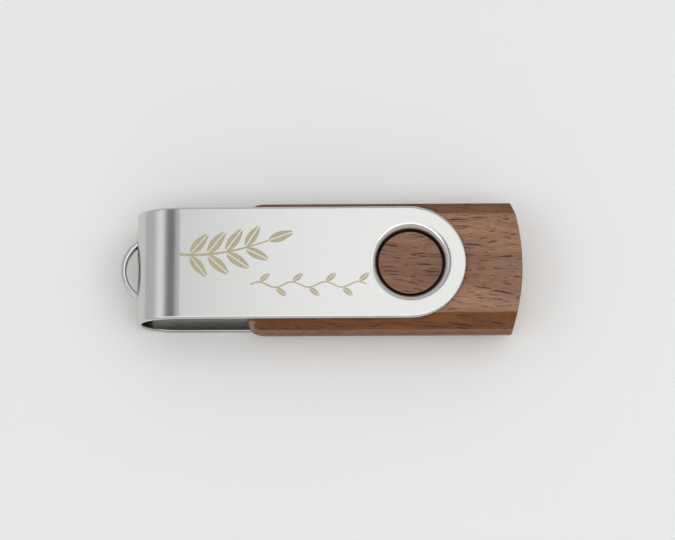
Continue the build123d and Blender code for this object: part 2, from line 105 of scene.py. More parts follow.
def share(name, description, default):
    """A number from 0 to 1."""
    return FloatProperty(
        name=name, description=description, default=default, min=0.0, max=1.0, subtype="FACTOR"
    )


def angle(name, description, default_degrees):
    """An angle, given in degrees and kept in radians."""
    return FloatProperty(
        name=name, description=description, default=math.radians(default_degrees), subtype="ANGLE"
    )


def radiance(name, description, default):
    """How bright a light panel looks."""
    return FloatProperty(name=name, description=description, default=default, min=0.0)


class WalnutSettings(bpy.types.PropertyGroup):
    light: colour("Light wood", "Sapwood side of the colour range", (0.375, 0.195, 0.112))
    dark: colour("Dark wood", "Heartwood side of the colour range", (0.232, 0.112, 0.060))
    shade: colour("Grey figure", "Cool patches that lie round the open pores", (0.225, 0.130, 0.104))
    # painted shade on the sides and ends: they are drawn darker and more orange than the top face, which
    # looks lighter where light falls on it as a sheen
    oiled: colour("Oiled sides", "Deepens the sides and ends, which soak up more oil", (0.640, 0.430, 0.150))
    # painted shade, deeper still, on the chamfers
    shaded: colour("Planed chamfers", "Deepens the planed chamfers further", (0.84, 0.80, 0.70))
    pore: colour("Pores", "Open pores filled with oil and dust", (0.022, 0.012, 0.010))
    # painted highlight along the long creases, and at the plug-end corners painted highlight with some bare
    # rubbed wood
    rub_and_highlight: colour("Rubbed wood", "Bare wood where an edge has been rubbed", (0.560, 0.400, 0.290))
    # painted shade: this near black stands for the shade deep in the ring groove round the boss, and it also
    # colours the dark glue line
    groove_shade_and_seam: colour("Groove", "Wood in the ring groove round the boss", (0.010, 0.007, 0.006))
    roughness: share("Roughness", "Roughness of the oiled surface", 0.46)
    grain_slope: angle("Grain slope", "Grain against the length of the body", -4.0)
    grain_waviness: length("Grain waviness", "How far a fibre wanders sideways", 0.0010)
    side_chamfer: length("Side chamfer", "Chamfer along the four long edges", 0.00225)
    corner_radius: length("Corner radius", "Radius of the two corners at the plug end", 0.0026)
    boss_radius: length("Boss radius", "Radius of the boss inside the ring groove", 0.00465)
    groove_outer_radius: length("Groove radius", "Outer radius of the ring groove", 0.0060)
    # the boss is drawn darker than the rest of the top face
    boss_darkening: share("Boss shade", "How much darker the central boss has become", 0.14)
    pore_depth: length("Pore depth", "Depth of an open pore", 0.00006)


class SteelSettings(bpy.types.PropertyGroup):
    clip_colour: colour("Clip", "Satin steel of the clip", (0.640, 0.640, 0.625))
    clip_roughness: share("Clip roughness", "Roughness of the satin finish", 0.20)
    # painted shade: the clip's faces between the arms are drawn darker, standing for the shade there
    between_arms_shade: share("Clip inside", "Tone of the darkened faces between the arms", 0.64)
    clip_grain: length("Clip grain", "Size of the satin grain", 0.00009)
    plug_colour: colour("Plug", "Nickel on the plug's shell", (0.660, 0.640, 0.600))
    plug_roughness: share("Plug roughness", "Roughness of the nickel", 0.16)
    tinned_colour: colour("Tin", "Tinned leads and solder", (0.620, 0.620, 0.630))
    gold_colour: colour("Gold", "Gold flash on contacts and pads", (0.900, 0.610, 0.240))


class OrnamentSettings(bpy.types.PropertyGroup):
    ink: colour("Ink", "Warm beige of the print", (0.500, 0.440, 0.295))
    thickness: length("Thickness", "Height of the print above the steel", 0.000012)
    sprig_start: FloatVectorProperty(
        name="Sprig start",
        description="Where the stem begins, from the pivot along and across the arm",
        default=(-0.0336, 0.0012),
        size=2,
        unit="LENGTH",
    )
    sprig_end: FloatVectorProperty(
        name="Sprig end",
        description="Where the stem's last leaf begins, from the pivot along and across the arm",
        default=(-0.0206, 0.0032),
        size=2,
        unit="LENGTH",
    )
    leaf_length: length("Leaf length", "Length of the longest leaf", 0.0042)
    leaf_width: length("Leaf width", "Widest part of the longest leaf", 0.00160)
    leaf_pairs: IntProperty(
        name="Leaf pairs", description="Pairs of leaves along the stem", default=4, min=1, max=12
    )
    stem_width: length("Stem width", "Width of the stem at its start", 0.00042)
    vine_start: FloatVectorProperty(
        name="Vine start",
        description="Left end of the small vine, from the pivot along and across the arm",
        default=(-0.0232, -0.0034),
        size=2,
        unit="LENGTH",
    )
    vine_length: length("Vine length", "Length of the small vine", 0.0168)
    vine_waves: IntProperty(
        name="Vine waves", description="Number of half waves in the vine", default=7, min=2, max=20
    )


class InsideSettings(bpy.types.PropertyGroup):
    black: colour("Black plastic", "Collar and board carrier", (0.016, 0.016, 0.018))
    tongue: colour("Plug tongue", "Plastic inside the plug", (0.030, 0.031, 0.034))
    epoxy: colour("Chip epoxy", "Moulded chip bodies", (0.018, 0.018, 0.020))
    mask: colour("Board", "Solder mask on the circuit board", (0.012, 0.110, 0.045))
    alumina: colour("Crystal base", "Fired ceramic under the crystal's lid", (0.240, 0.190, 0.150))
    capacitor: colour("Capacitors", "Fired ceramic of the capacitors", (0.330, 0.210, 0.115))


class StageSettings(bpy.types.PropertyGroup):
    floor_colour: colour("Floor", "Pale floor", (0.925, 0.921, 0.908))
    floor_radius: length("Floor radius", "Reach of the floor", 2.5)
    camera_distance: length("Camera distance", "From the lens to the point that it looks at", 0.372)
    camera_tilt: angle("Camera tilt", "Lean of the view from straight above, towards the front", 13.9)
    camera_roll: angle("Camera roll", "Turn of the picture about its own centre", -0.3)
    field_width: length("Field width", "Width of the view at the point that the camera looks at", 0.0991)
    look_ahead: length("Look ahead", "From the pivot to the point looked at, towards the plug", 0.01059)
    panel_height: length("Panel height", "Height of the light panels above the floor", 0.6)
    overhead: radiance("Overhead panel", "Panel straight above the drive", 1.14)
    overhead_edge: radiance("Overhead edge", "Weaker left edge of the overhead panel", 0.50)
    right: radiance("Right panel", "Wide panel above and to the right", 0.92)
    left: radiance("Left panel", "Narrow panel above and to the left", 0.50)
    front: radiance("Front panel", "Wide panel above and in front", 1.58)
    zenith: colour("Room above", "Dim room between the panels", (0.165, 0.172, 0.190))
    horizon: colour("Room round", "Paler room near the horizon", (0.600, 0.605, 0.610))


# ---------------------------------------------------------------- node helpers


def add_node(tree, kind, inputs=None, **settings):
    """A node with its properties set, and its inputs either linked or filled in."""
    node = tree.nodes.new(kind)
    for name, value in settings.items():
        setattr(node, name, value)
    for name, value in (inputs or {}).items():
        if isinstance(value, bpy.types.NodeSocket):
            tree.links.new(value, node.inputs[name])
        else:
            node.inputs[name].default_value = value
    return node


def calculate(tree, operation, *values, clamp=False):
    """The result of a Math node."""
    node = add_node(tree, "ShaderNodeMath", dict(enumerate(values)), operation=operation, use_clamp=clamp)
    return node.outputs[0]


def vector_sum(tree, operation, *values):
    """The vector result of a Vector Math node."""
    node = add_node(tree, "ShaderNodeVectorMath", dict(enumerate(values)), operation=operation)
    return node.outputs["Vector"]


def vector_scaled(tree, vector, scale):
    """The vector times one number."""
    node = add_node(tree, "ShaderNodeVectorMath", {0: vector, "Scale": scale}, operation="SCALE")
    return node.outputs["Vector"]


def smooth_step(tree, value, start, end):
    """0 before start and 1 after end, eased between."""
    node = add_node(
        tree,
        "ShaderNodeMapRange",
        {"Value": value, "From Min": start, "From Max": end},
        interpolation_type="SMOOTHSTEP",
    )
    return node.outputs["Result"]


def noise(tree, vector, scale, detail=2.0, roughness=0.5):
    """Smooth noise, about 0.5 on average."""
    inputs = {"Vector": vector, "Scale": scale, "Detail": detail, "Roughness": roughness}
    return add_node(tree, "ShaderNodeTexNoise", inputs).outputs["Fac"]


def mix_colours(tree, factor, first, second, blend="MIX"):
    """Two colours mixed by a factor."""
    node = tree.nodes.new("ShaderNodeMix")
    node.data_type = "RGBA"
    node.blend_type = blend
    for index, value in ((0, factor), (6, first), (7, second)):
        if isinstance(value, bpy.types.NodeSocket):
            tree.links.new(value, node.inputs[index])
        elif index:
            node.inputs[index].default_value = (*value, 1.0)
        else:
            node.inputs[index].default_value = value
    return node.outputs[2]


def position_in_mm(tree, centre=(0.0, 0.0, 0.0)):
    """The surface point in millimetres, from a centre given in metres, fixed to the body it rides on."""
    place = add_node(tree, "ShaderNodeTexCoord").outputs["Object"]
    moved = vector_sum(tree, "SUBTRACT", place, tuple(centre))
    return vector_scaled(tree, moved, 1 / MM)


def new_group(name, inputs, outputs):
    """An empty node group, with the sockets to read from and the sockets to link to."""
    group = bpy.data.node_groups.new(name, "ShaderNodeTree")
    for socket_name, kind, default in inputs:
        socket = group.interface.new_socket(socket_name, in_out="INPUT", socket_type=kind)
        if default is not None:
            socket.default_value = default
    for socket_name, kind in outputs:
        group.interface.new_socket(socket_name, in_out="OUTPUT", socket_type=kind)
    return group, group.nodes.new("NodeGroupInput").outputs, group.nodes.new("NodeGroupOutput").inputs


def place_group(tree, group, inputs):
    """A node that runs a group with this material's own values."""
    node = tree.nodes.new("ShaderNodeGroup")
    node.node_tree = group
    for name, value in inputs.items():
        if isinstance(value, bpy.types.NodeSocket):
            tree.links.new(value, node.inputs[name])
        else:
            node.inputs[name].default_value = value
    return node.outputs


def new_material(name, shader_values):
    """A material with one Principled shader whose constant values are set on its own sockets."""
    material = bpy.data.materials.new(name)
    material.use_nodes = True
    tree = material.node_tree
    shader = tree.nodes["Principled BSDF"]
    for socket, value in shader_values.items():
        shader.inputs[socket].default_value = value
    return material, tree, shader


def add_bump(tree, shader, height, depth):
    """Bump of a depth in metres at height 1."""
    bump = add_node(tree, "ShaderNodeBump", {"Height": height, "Strength": 1.0, "Distance": depth})
    tree.links.new(bump.outputs["Normal"], shader.inputs["Normal"])


def dress(material, *names):
    """Gives CAD nodes their material."""
    for name in names:
        mesh = NODES[name].data
        mesh.materials.clear()
        mesh.materials.append(material)


# ---------------------------------------------------------------- shared effects


def metal_grain_group():
    """Fine metal grain: a stretched noise that varies roughness, tone and height."""
    found = bpy.data.node_groups.get("metal_grain")
    if found:
        return found
    group, given, result = new_group(
        "metal_grain",
        (
            ("Colour", "NodeSocketColor", None),
            ("Position", "NodeSocketVector", None),
            ("Grain Size", "NodeSocketFloat", 0.1),
            ("Stretch", "NodeSocketFloat", 1.0),
            ("Roughness", "NodeSocketFloat", 0.2),
            ("Roughness Spread", "NodeSocketFloat", 0.1),
            ("Tone Spread", "NodeSocketFloat", 0.1),
        ),
        (("Colour", "NodeSocketColor"), ("Roughness", "NodeSocketFloat"), ("Height", "NodeSocketFloat")),
    )
    squeeze = add_node(group, "ShaderNodeCombineXYZ", {"Y": 1.0, "Z": 1.0})
    group.links.new(calculate(group, "DIVIDE", 1.0, given["Stretch"]), squeeze.inputs["X"])
    squeezed = vector_sum(group, "MULTIPLY", given["Position"], squeeze.outputs["Vector"])
    fine_scale = calculate(group, "DIVIDE", 1.0, given["Grain Size"])
    fine = noise(group, squeezed, fine_scale, detail=3.0, roughness=0.6)
    cloud = noise(group, given["Position"], 0.16, detail=4.0, roughness=0.55)
    fine_part = calculate(group, "SUBTRACT", fine, 0.5)
    cloud_part = calculate(group, "SUBTRACT", cloud, 0.5)
    both = calculate(group, "ADD", fine_part, cloud_part)
    rough = calculate(group, "MULTIPLY_ADD", both, given["Roughness Spread"], given["Roughness"])
    tone = calculate(group, "MULTIPLY_ADD", both, given["Tone Spread"], 1.0)
    group.links.new(vector_scaled(group, given["Colour"], tone), result["Colour"])
    group.links.new(rough, result["Roughness"])
    group.links.new(fine, result["Height"])
    return group


def moulded_skin_group():
    """The fine pebbled skin of a moulded or fired part, with faint flow clouds."""
    found = bpy.data.node_groups.get("moulded_skin")
    if found:
        return found
    group, given, result = new_group(
        "moulded_skin",
        (
            ("Colour", "NodeSocketColor", None),
            ("Position", "NodeSocketVector", None),
            ("Pebble Size", "NodeSocketFloat", 0.1),
            ("Roughness", "NodeSocketFloat", 0.5),
            ("Speckle", "NodeSocketFloat", 0.2),
        ),
        (("Colour", "NodeSocketColor"), ("Roughness", "NodeSocketFloat"), ("Height", "NodeSocketFloat")),
    )
    pebble_scale = calculate(group, "DIVIDE", 1.0, given["Pebble Size"])
    pebbles = add_node(
        group,
        "ShaderNodeTexVoronoi",
        {"Vector": given["Position"], "Scale": pebble_scale},
        feature="SMOOTH_F1",
    ).outputs["Distance"]
    clouds = noise(group, given["Position"], 0.9, detail=4.0)
    varied = calculate(group, "SUBTRACT", calculate(group, "ADD", pebbles, clouds), 0.9)
    tone = calculate(group, "MULTIPLY_ADD", varied, given["Speckle"], 1.0)
    group.links.new(vector_scaled(group, given["Colour"], tone), result["Colour"])
    rough = calculate(group, "MULTIPLY_ADD", varied, 0.12, given["Roughness"])
    group.links.new(rough, result["Roughness"])
    group.links.new(pebbles, result["Height"])
    return group


def edge_highlight_group():
    """A mask along an edge that runs lengthways, the same on all four sides of the centre line, for a
    painted highlight.
    """
    found = bpy.data.node_groups.get("edge_highlight")
    if found:
        return found
    group, given, result = new_group(
        "edge_highlight",
        (
            ("Position", "NodeSocketVector", None),
            ("Edge Y", "NodeSocketFloat", 1.0),
            ("Edge Z", "NodeSocketFloat", 1.0),
            ("Width", "NodeSocketFloat", 0.3),
        ),
        (("Mask", "NodeSocketFloat"),),
    )
    folded = add_node(group, "ShaderNodeSeparateXYZ", {0: vector_sum(group, "ABSOLUTE", given["Position"])})
    off_y = calculate(group, "SUBTRACT", folded.outputs["Y"], given["Edge Y"])
    off_z = calculate(group, "SUBTRACT", folded.outputs["Z"], given["Edge Z"])
    squares = [calculate(group, "POWER", offset, 2.0) for offset in (off_y, off_z)]
    distance = calculate(group, "SQRT", calculate(group, "ADD", *squares))
    wobble = noise(group, given["Position"], 0.7, detail=5.0, roughness=0.65)
    reach = calculate(group, "MULTIPLY", calculate(group, "MULTIPLY", wobble, 2.0), given["Width"])
    group.links.new(smooth_step(group, distance, reach, 0.0), result["Mask"])
    return group


def wood_pores_group():
    """Open pores: thin dashes along the grain, thinned out by a slow noise so that they lie in clusters."""
    found = bpy.data.node_groups.get("wood_pores")
    if found:
        return found
    group, given, result = new_group(
        "wood_pores",
        (
            ("Position", "NodeSocketVector", None),
            ("Length", "NodeSocketFloat", 2.4),
            ("Spacing", "NodeSocketFloat", 0.5),
            ("Radius", "NodeSocketFloat", 0.3),
            ("Cover", "NodeSocketFloat", 0.5),
        ),
        (("Mask", "NodeSocketFloat"), ("Cluster", "NodeSocketFloat")),
    )
    ragged = noise(group, given["Position"], 2.2, detail=2.0)
    wander = add_node(group, "ShaderNodeCombineXYZ")
    for axis in ("Y", "Z"):
        group.links.new(calculate(group, "MULTIPLY", ragged, 0.16), wander.inputs[axis])
    place = vector_sum(group, "ADD", given["Position"], wander.outputs["Vector"])
    cell = add_node(group, "ShaderNodeCombineXYZ")
    group.links.new(given["Length"], cell.inputs["X"])
    group.links.new(given["Spacing"], cell.inputs["Y"])
    group.links.new(given["Spacing"], cell.inputs["Z"])
    cells = add_node(
        group,
        "ShaderNodeTexVoronoi",
        {"Vector": vector_sum(group, "DIVIDE", place, cell.outputs["Vector"]), "Scale": 1.0},
    )
    chance = add_node(group, "ShaderNodeSeparateXYZ", {0: cells.outputs["Color"]})
    region = vector_sum(group, "MULTIPLY", given["Position"], (0.16, 0.62, 0.62))
    cluster = noise(group, region, 1.0, detail=2.0)
    lot = calculate(group, "SUBTRACT", calculate(group, "MULTIPLY", cluster, 2.0), chance.outputs["X"])
    kept = smooth_step(group, lot, calculate(group, "SUBTRACT", 1.0, given["Cover"]), 1.0)
    radius = calculate(group, "MULTIPLY", given["Radius"], calculate(group, "MULTIPLY_ADD", kept, 0.4, 0.6))
    inner = calculate(group, "MULTIPLY", radius, 0.45)
    dash = smooth_step(group, cells.outputs["Distance"], radius, inner)
    visible = calculate(group, "GREATER_THAN", kept, 0.02)
    group.links.new(calculate(group, "MULTIPLY", dash, visible), result["Mask"])
    group.links.new(cluster, result["Cluster"])
    return group


# ---------------------------------------------------------------- finishes


def wood_fibre(tree, place, settings):
    """The position along and across the fibres, which slope a little and wander sideways."""
    turned = add_node(
        tree,
        "ShaderNodeVectorRotate",
        {"Vector": place, "Axis": (0.0, 0.0, 1.0), "Angle": -settings.grain_slope},
        rotation_type="AXIS_ANGLE",
    ).outputs["Vector"]
    slow = vector_sum(tree, "MULTIPLY", turned, (0.055, 0.16, 0.16))
    wander = add_node(tree, "ShaderNodeTexNoise", {"Vector": slow, "Scale": 1.0, "Detail": 2.0})
    drift = vector_sum(tree, "SUBTRACT", wander.outputs["Color"], (0.5, 0.5, 0.5))
    noise_reach = 4  # the noise stays within about a quarter of its range on each side
    waviness = settings.grain_waviness / MM * noise_reach
    drift = vector_sum(tree, "MULTIPLY", drift, (0.0, waviness, waviness))
    return vector_sum(tree, "ADD", turned, drift)


def wood_figure(tree, fibre, fibres, settings):
    """The wood's colour from slow bands, streaks, grey patches round the pores, and single fibres."""
    bands = noise(tree, vector_sum(tree, "MULTIPLY", fibre, (0.018, 0.30, 0.30)), 1.0, 3.0, 0.55)
    streaks = noise(tree, vector_sum(tree, "MULTIPLY", fibre, (0.07, 2.3, 2.3)), 1.0, 4.0, 0.6)
    blend = calculate(tree, "MULTIPLY_ADD", streaks, 0.45, calculate(tree, "MULTIPLY", bands, 0.75))
    body = mix_colours(tree, smooth_step(tree, blend, 0.44, 0.76), settings.dark, settings.light)
    long_pores = place_group(tree, wood_pores_group(), {"Position": fibre, **LONG_PORES})
    shifted = vector_sum(tree, "ADD", fibre, SHORT_PORE_OFFSET)
    short_pores = place_group(tree, wood_pores_group(), {"Position": shifted, **SHORT_PORES})
    grey = calculate(tree, "MULTIPLY", smooth_step(tree, long_pores["Cluster"], 0.46, 0.66), 0.75)
    body = mix_colours(tree, grey, body, settings.shade)
    body = vector_scaled(tree, body, calculate(tree, "MULTIPLY_ADD", fibres, 1.35, 0.36))
    faint = calculate(tree, "MULTIPLY", short_pores["Mask"], 0.62)
    strong = calculate(tree, "MULTIPLY", long_pores["Mask"], 0.88)
    return body, calculate(tree, "MAXIMUM", faint, strong)


def shaded_faces(tree, body, point, depth, settings):
    """Painted shade: deepens the wood on the sides, on the ends and, further, on the chamfers, so that they
    look darker than the top face, where light falls as a sheen.
    """
    half_width = WOOD_HIGH.y / MM
    half_thickness = (WOOD_HIGH.z - WOOD_LOW.z) / 2 / MM
    below_face = smooth_step(tree, depth, half_thickness - 0.04, half_thickness - 0.28)
    # painted shade: the colour called oiled darkens every face below the top face
    body = mix_colours(tree, below_face, body, settings.oiled, blend="MULTIPLY")
    across = calculate(tree, "ADD", calculate(tree, "ABSOLUTE", point["Y"]), depth)
    chamfer_plane = half_width + half_thickness - settings.side_chamfer / MM
    on_chamfer = smooth_step(tree, across, chamfer_plane - 0.22, chamfer_plane - 0.06)
    # painted shade, deeper still, on the chamfers
    return mix_colours(tree, on_chamfer, body, settings.shaded, blend="MULTIPLY")


def highlit_and_rubbed_edges(tree, place, point, settings):
    """A mask of painted highlight along the long creases, and of painted highlight with some bare rubbed
    wood at the two corners at the plug end.
    """
    half_width = WOOD_HIGH.y / MM
    half_thickness = (WOOD_HIGH.z - WOOD_LOW.z) / 2 / MM
    chamfer = settings.side_chamfer / MM
    creases = []
    for edge_y, edge_z in ((half_width - chamfer, half_thickness), (half_width, half_thickness - chamfer)):
        edge = {"Position": place, "Edge Y": edge_y, "Edge Z": edge_z, "Width": 0.16}
        creases.append(place_group(tree, edge_highlight_group(), edge)["Mask"])
    # painted highlight along the long creases
    crease_highlight = calculate(tree, "MULTIPLY", calculate(tree, "MAXIMUM", *creases), 0.12)
    front_x = (WOOD_LOW.x - PIVOT.x) / MM
    inset = settings.corner_radius / MM * (1 - math.sqrt(0.5))
    from_front = calculate(tree, "SUBTRACT", point["X"], front_x + inset)
    from_side = calculate(tree, "SUBTRACT", calculate(tree, "ABSOLUTE", point["Y"]), half_width - inset)
    squares = [calculate(tree, "POWER", offset, 2.0) for offset in (from_front, from_side)]
    corner_rub_and_highlight = calculate(tree, "SQRT", calculate(tree, "ADD", *squares))
    wobble = noise(tree, place, 0.9, detail=5.0, roughness=0.65)
    # painted highlight with some bare rubbed wood at the plug-end corners
    corner_rub_and_highlight = calculate(tree, "ADD", corner_rub_and_highlight, wobble)
    corner_rub_and_highlight = calculate(tree, "MULTIPLY", smooth_step(tree, corner_rub_and_highlight, 1.2, 0.7), 0.32)
    return calculate(tree, "MAXIMUM", crease_highlight, corner_rub_and_highlight)


def boss_and_groove(tree, body, place, depth, settings):
    """Darkens the boss a little, paints shade into the ring groove round it, and darkens the glue line much
    more.
    """
    half_thickness = (WOOD_HIGH.z - WOOD_LOW.z) / 2 / MM
    flat = vector_sum(tree, "MULTIPLY", place, (1.0, 1.0, 0.0))
    radius = add_node(tree, "ShaderNodeVectorMath", {0: flat}, operation="LENGTH").outputs["Value"]
    boss = settings.boss_radius / MM
    groove = settings.groove_outer_radius / MM
    past_boss = smooth_step(tree, radius, boss - 0.06, boss + 0.02)
    before_face = smooth_step(tree, radius, groove + 0.4, groove)
    sunk = smooth_step(tree, depth, half_thickness + 0.01, half_thickness - 0.10)
    # painted shade in the deep, narrow ring groove round the boss
    inside = calculate(tree, "MULTIPLY", calculate(tree, "MULTIPLY", past_boss, before_face), sunk)
    seam = smooth_step(tree, depth, 0.09, 0.04)
    on_boss = smooth_step(tree, radius, boss + 0.1, boss - 0.1)
    # the boss is drawn a little darker than the top face round it
    body = vector_scaled(tree, body, calculate(tree, "MULTIPLY_ADD", on_boss, -settings.boss_darkening, 1.0))
    # the groove's painted shade and the dark glue line take one colour
    dark = calculate(tree, "MAXIMUM", inside, calculate(tree, "MULTIPLY", seam, 0.6))
    return mix_colours(tree, dark, body, settings.groove_shade_and_seam)


def walnut_finish(settings):
    """Oiled walnut, solid all through, so that sides and ends show the same boards' grain."""
    material, tree, shader = new_material("walnut", {"IOR": 1.4})
    place = position_in_mm(tree, PIVOT_CENTRE)
    point = add_node(tree, "ShaderNodeSeparateXYZ", {0: place}).outputs
    depth = calculate(tree, "ABSOLUTE", point["Z"])
    fibre = wood_fibre(tree, place, settings)
    fibres = noise(tree, vector_sum(tree, "MULTIPLY", fibre, (0.8, 11.0, 11.0)), 1.0, 3.0, 0.6)
    body, open_pore = wood_figure(tree, fibre, fibres, settings)
    # painted shade on the sides, ends and chamfers
    body = shaded_faces(tree, body, point, depth, settings)
    body = mix_colours(tree, open_pore, body, settings.pore)
    # painted highlight on the creases and corners, partly bare rubbed wood
    body = mix_colours(tree, highlit_and_rubbed_edges(tree, place, point, settings), body, settings.rub_and_highlight)
    body = boss_and_groove(tree, body, place, depth, settings)
    tree.links.new(body, shader.inputs["Base Color"])
    rough = calculate(tree, "MULTIPLY_ADD", fibres, 0.16, settings.roughness - 0.08)
    rough = calculate(tree, "MULTIPLY_ADD", open_pore, 0.3, rough)
    tree.links.new(rough, shader.inputs["Roughness"])
    height = calculate(tree, "MULTIPLY_ADD", open_pore, -1.0, calculate(tree, "MULTIPLY", fibres, 0.12))
    add_bump(tree, shader, height, settings.pore_depth)
    return material


def between_arms(tree):
    """A mask on the clip's faces that look towards the body: inside both arms and inside the bend, where
    painted shade goes.
    """
    normal = add_node(tree, "ShaderNodeTexCoord").outputs["Normal"]
    facing = add_node(tree, "ShaderNodeSeparateXYZ", {0: normal})
    point = add_node(tree, "ShaderNodeSeparateXYZ", {0: position_in_mm(tree, PIVOT_CENTRE)})
    side = calculate(tree, "SIGN", point.outputs["Z"])
    inward = calculate(tree, "MULTIPLY", facing.outputs["Z"], side)
    arms = smooth_step(tree, inward, -0.2, -0.8)
    wood_front = (WOOD_LOW.x - PIVOT.x) / MM
    plug_tip = (PLUG_LOW.x - PIVOT.x) / MM
    past_wood = smooth_step(tree, point.outputs["X"], wood_front, plug_tip)
    bend = calculate(tree, "MULTIPLY", smooth_step(tree, facing.outputs["X"], 0.2, 0.8), past_wood)
    return calculate(tree, "MAXIMUM", arms, bend)


def grained_metal(name, colour_value, grain, rough, bump_depth):
    """A metal whose fine grain comes from the shared effect."""
    material, tree, shader = new_material(name, {"Metallic": 1.0})
    size, stretch = grain
    base_roughness, roughness_spread, tone_spread = rough
    parts = place_group(
        tree,
        metal_grain_group(),
        {
            "Colour": (*colour_value, 1.0),
            "Position": position_in_mm(tree),
            "Grain Size": size / MM,
            "Stretch": stretch,
            "Roughness": base_roughness,
            "Roughness Spread": roughness_spread,
            "Tone Spread": tone_spread,
        },
    )
    tree.links.new(parts["Colour"], shader.inputs["Base Color"])
    tree.links.new(parts["Roughness"], shader.inputs["Roughness"])
    add_bump(tree, shader, parts["Height"], bump_depth)
    return material


def clip_finish(settings):
    """Satin steel, with painted shade on the faces between the arms."""
    grain = (settings.clip_grain, 1.0)
    material = grained_metal(
        "clip_steel", settings.clip_colour, grain, (settings.clip_roughness, 0.06, 0.05), 0.0009 * MM
    )
    tree = material.node_tree
    base = tree.nodes["Principled BSDF"].inputs["Base Color"]
    # painted shade on the faces between the arms and inside the bend
    tone = calculate(tree, "MULTIPLY_ADD", between_arms(tree), settings.between_arms_shade - 1.0, 1.0)
    tree.links.new(vector_scaled(tree, base.links[0].from_socket, tone), base)
    return material


def skinned_plastic(name, colour_value, pebble, rough, speckle, bump_depth):
    """A moulded or fired material whose skin comes from the shared effect."""
    material, tree, shader = new_material(name, {})
    parts = place_group(
        tree,
        moulded_skin_group(),
        {
            "Colour": (*colour_value, 1.0),
            "Position": position_in_mm(tree),
            "Pebble Size": pebble / MM,
            "Roughness": rough,
            "Speckle": speckle,
        },
    )
    tree.links.new(parts["Colour"], shader.inputs["Base Color"])
    tree.links.new(parts["Roughness"], shader.inputs["Roughness"])
    add_bump(tree, shader, parts["Height"], bump_depth)
    return material


def board_finish(settings):
    """Solder mask over copper: green, with faint tracks that stand up under it."""
    material, tree, shader = new_material("board_laminate", {"Coat Weight": 0.4, "Coat Roughness": 0.12})
    place = position_in_mm(tree)
    tracks = add_node(
        tree,
        "ShaderNodeTexBrick",
        {"Vector": place, "Scale": 1.0, "Mortar Size": 0.10, "Brick Width": 3.1, "Row Height": 0.55},
        offset=0.4,
    ).outputs["Fac"]
    cloud = noise(tree, place, 0.8, detail=3.0)
    lighter = tuple(min(1.0, 1.9 * value) for value in settings.mask)
    body = mix_colours(tree, calculate(tree, "MULTIPLY", tracks, 0.8), settings.mask, lighter)
    body = vector_scaled(tree, body, calculate(tree, "MULTIPLY_ADD", cloud, 0.4, 0.8))
    tree.links.new(body, shader.inputs["Base Color"])
    tree.links.new(calculate(tree, "MULTIPLY_ADD", cloud, 0.2, 0.25), shader.inputs["Roughness"])
    add_bump(tree, shader, tracks, 0.03 * MM)
    return material


def print_finish(settings):
    """Beige ink, slightly uneven where it took less well on the steel's grain."""
    material, tree, shader = new_material("beige_print", {"IOR": 1.45})
    place = position_in_mm(tree)
    fine = noise(tree, place, 9.0, detail=3.0, roughness=0.6)
    cloud = noise(tree, place, 0.7, detail=2.0)
    tone = calculate(tree, "MULTIPLY_ADD", fine, 0.16, calculate(tree, "MULTIPLY_ADD", cloud, 0.14, 0.85))
    ink = add_node(tree, "ShaderNodeRGB")
    ink.outputs[0].default_value = (*settings.ink, 1.0)
    tree.links.new(vector_scaled(tree, ink.outputs[0], tone), shader.inputs["Base Color"])
    tree.links.new(calculate(tree, "MULTIPLY_ADD", fine, 0.2, 0.38), shader.inputs["Roughness"])
    tree.links.new(calculate(tree, "MULTIPLY_ADD", fine, 0.3, 0.10), shader.inputs["Metallic"])
    add_bump(tree, shader, fine, 0.004 * MM)
    return material


def floor_finish(settings):
    """Pale matt card with a very fine tooth."""
    material, tree, shader = new_material("pale_card", {"Specular IOR Level": 0.25, "Roughness": 0.85})
    place = position_in_mm(tree)
    tooth = noise(tree, place, 3.0, detail=3.0, roughness=0.6)
    cloud = noise(tree, place, 0.012, detail=2.0)
    tone = calculate(tree, "MULTIPLY_ADD", tooth, 0.012, calculate(tree, "MULTIPLY_ADD", cloud, 0.02, 0.984))
    card = add_node(tree, "ShaderNodeRGB")
    card.outputs[0].default_value = (*settings.floor_colour, 1.0)
    tree.links.new(vector_scaled(tree, card.outputs[0], tone), shader.inputs["Base Color"])
    add_bump(tree, shader, tooth, 0.004 * MM)
    return material


# ---------------------------------------------------------------- printed ornament


def leaf_halves(base, direction, leaf_length, leaf_width):
    """The two sides of a leaf with a gap for its midrib, as lists of points in the plane."""
    across = Vector((-direction.y, direction.x))
    gap = 0.045 * leaf_length
    steps = 14
    halves = []
    for side in (1, -1):
        start = base + across * (side * gap / 2)
        rib = [start, start + direction * (leaf_length * 0.94)]
        edge = []
        for step in range(steps - 1, 0, -1):
            t = step / steps
            bulge = math.sin(math.pi * t**0.8) ** 0.9 * (leaf_width - gap) / 2
            edge.append(start + direction * (leaf_length * t) + across * (side * bulge))
        halves.append(rib + edge)
    return halves


def stem_strip(path, start_width, end_width):
    """Quads along a path, tapered from one width to the other."""
    quads = []
    rails = []
    for index, point in enumerate(path):
        ahead = path[min(index + 1, len(path) - 1)]
        behind = path[max(index - 1, 0)]
        direction = (ahead - behind).normalized()
        across = Vector((-direction.y, direction.x))
        width = start_width + (end_width - start_width) * index / (len(path) - 1)
        rails.append((point + across * width / 2, point - across * width / 2))
    for (left, right), (next_left, next_right) in zip(rails, rails[1:]):
        quads.append([left, next_left, next_right, right])
    return quads


